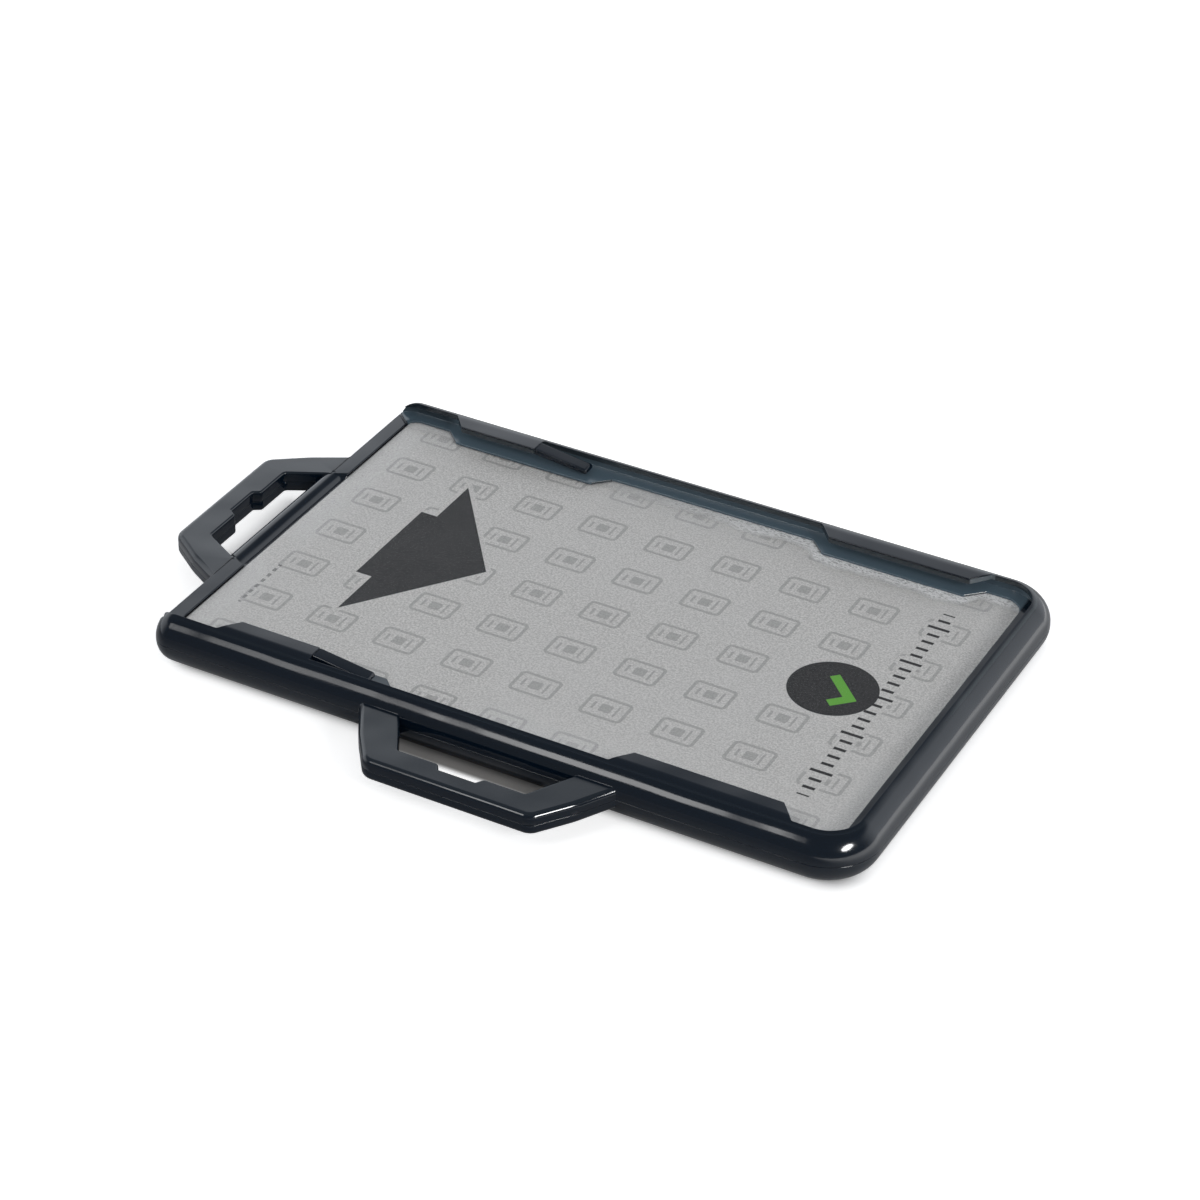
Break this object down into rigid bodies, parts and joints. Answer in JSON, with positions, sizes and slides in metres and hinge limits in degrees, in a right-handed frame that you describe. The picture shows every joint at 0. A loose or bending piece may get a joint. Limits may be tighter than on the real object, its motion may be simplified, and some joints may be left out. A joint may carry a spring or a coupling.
{
  "type": "badge holder",
  "caption": "Rigid shielded holder for ID-1 cards: two half frames with card trays, sprung lip tongues, a shield panel between them and two slotted lanyard loops.",
  "frame": {"origin": "middle of the holder's length and width, loops included, on the plane its back face rests on", "axes": "+X along the trays to their closed end, +Y across to the side with no loop, +Z out of the front face"},
  "size_m": [0.0986, 0.0682, 0.0066],
  "materials": {
    "smoke_plastic": "polished smoke-tinted polycarbonate",
    "clear_film": "clear gloss",
    "printed_sheet": "fine silver speckle with grey print",
    "shield_foil": "satin",
    "core_plate": "matte"
  },
  "bodies": {
    "holder": {"front_frame": "smoke_plastic", "back_frame": "smoke_plastic", "front_bezel": "smoke_plastic", "back_bezel": "smoke_plastic", "front_near_open_lip": "smoke_plastic", "front_near_closed_lip": "smoke_plastic", "front_far_open_lip": "smoke_plastic", "front_far_closed_lip": "smoke_plastic", "back_near_open_lip": "smoke_plastic", "back_near_closed_lip": "smoke_plastic", "back_far_open_lip": "smoke_plastic", "back_far_closed_lip": "smoke_plastic", "front_clear_film": "clear_film", "back_clear_film": "clear_film", "front_printed_sheet": "printed_sheet", "back_printed_sheet": "printed_sheet", "front_shield_foil": "shield_foil", "back_shield_foil": "shield_foil", "core_plate": "core_plate"},
    "front_near_tongue": {"front_near_tongue": "smoke_plastic"},
    "front_far_tongue": {"front_far_tongue": "smoke_plastic"},
    "back_near_tongue": {"back_near_tongue": "smoke_plastic"},
    "back_far_tongue": {"back_far_tongue": "smoke_plastic"}
  },
  "joints": [
    {"name": "front_near_tongue_flex", "type": "hinge", "parent": "holder", "child": "front_near_tongue", "pos_m": [-0.0199, -0.0214, 0.00617], "axis": [0, -1, 0], "range_deg": [0, 6], "stiffness_Nm_per_rad": 0.05},
    {"name": "front_far_tongue_flex", "type": "hinge", "parent": "holder", "child": "front_far_tongue", "pos_m": [-0.0199, 0.0302, 0.00617], "axis": [0, -1, 0], "range_deg": [0, 6], "stiffness_Nm_per_rad": 0.05},
    {"name": "back_near_tongue_flex", "type": "hinge", "parent": "holder", "child": "back_near_tongue", "pos_m": [-0.0199, -0.0214, 0.00042], "axis": [0, 1, 0], "range_deg": [0, 6], "stiffness_Nm_per_rad": 0.05},
    {"name": "back_far_tongue_flex", "type": "hinge", "parent": "holder", "child": "back_far_tongue", "pos_m": [-0.0199, 0.0302, 0.00042], "axis": [0, 1, 0], "range_deg": [0, 6], "stiffness_Nm_per_rad": 0.05}
  ]
}
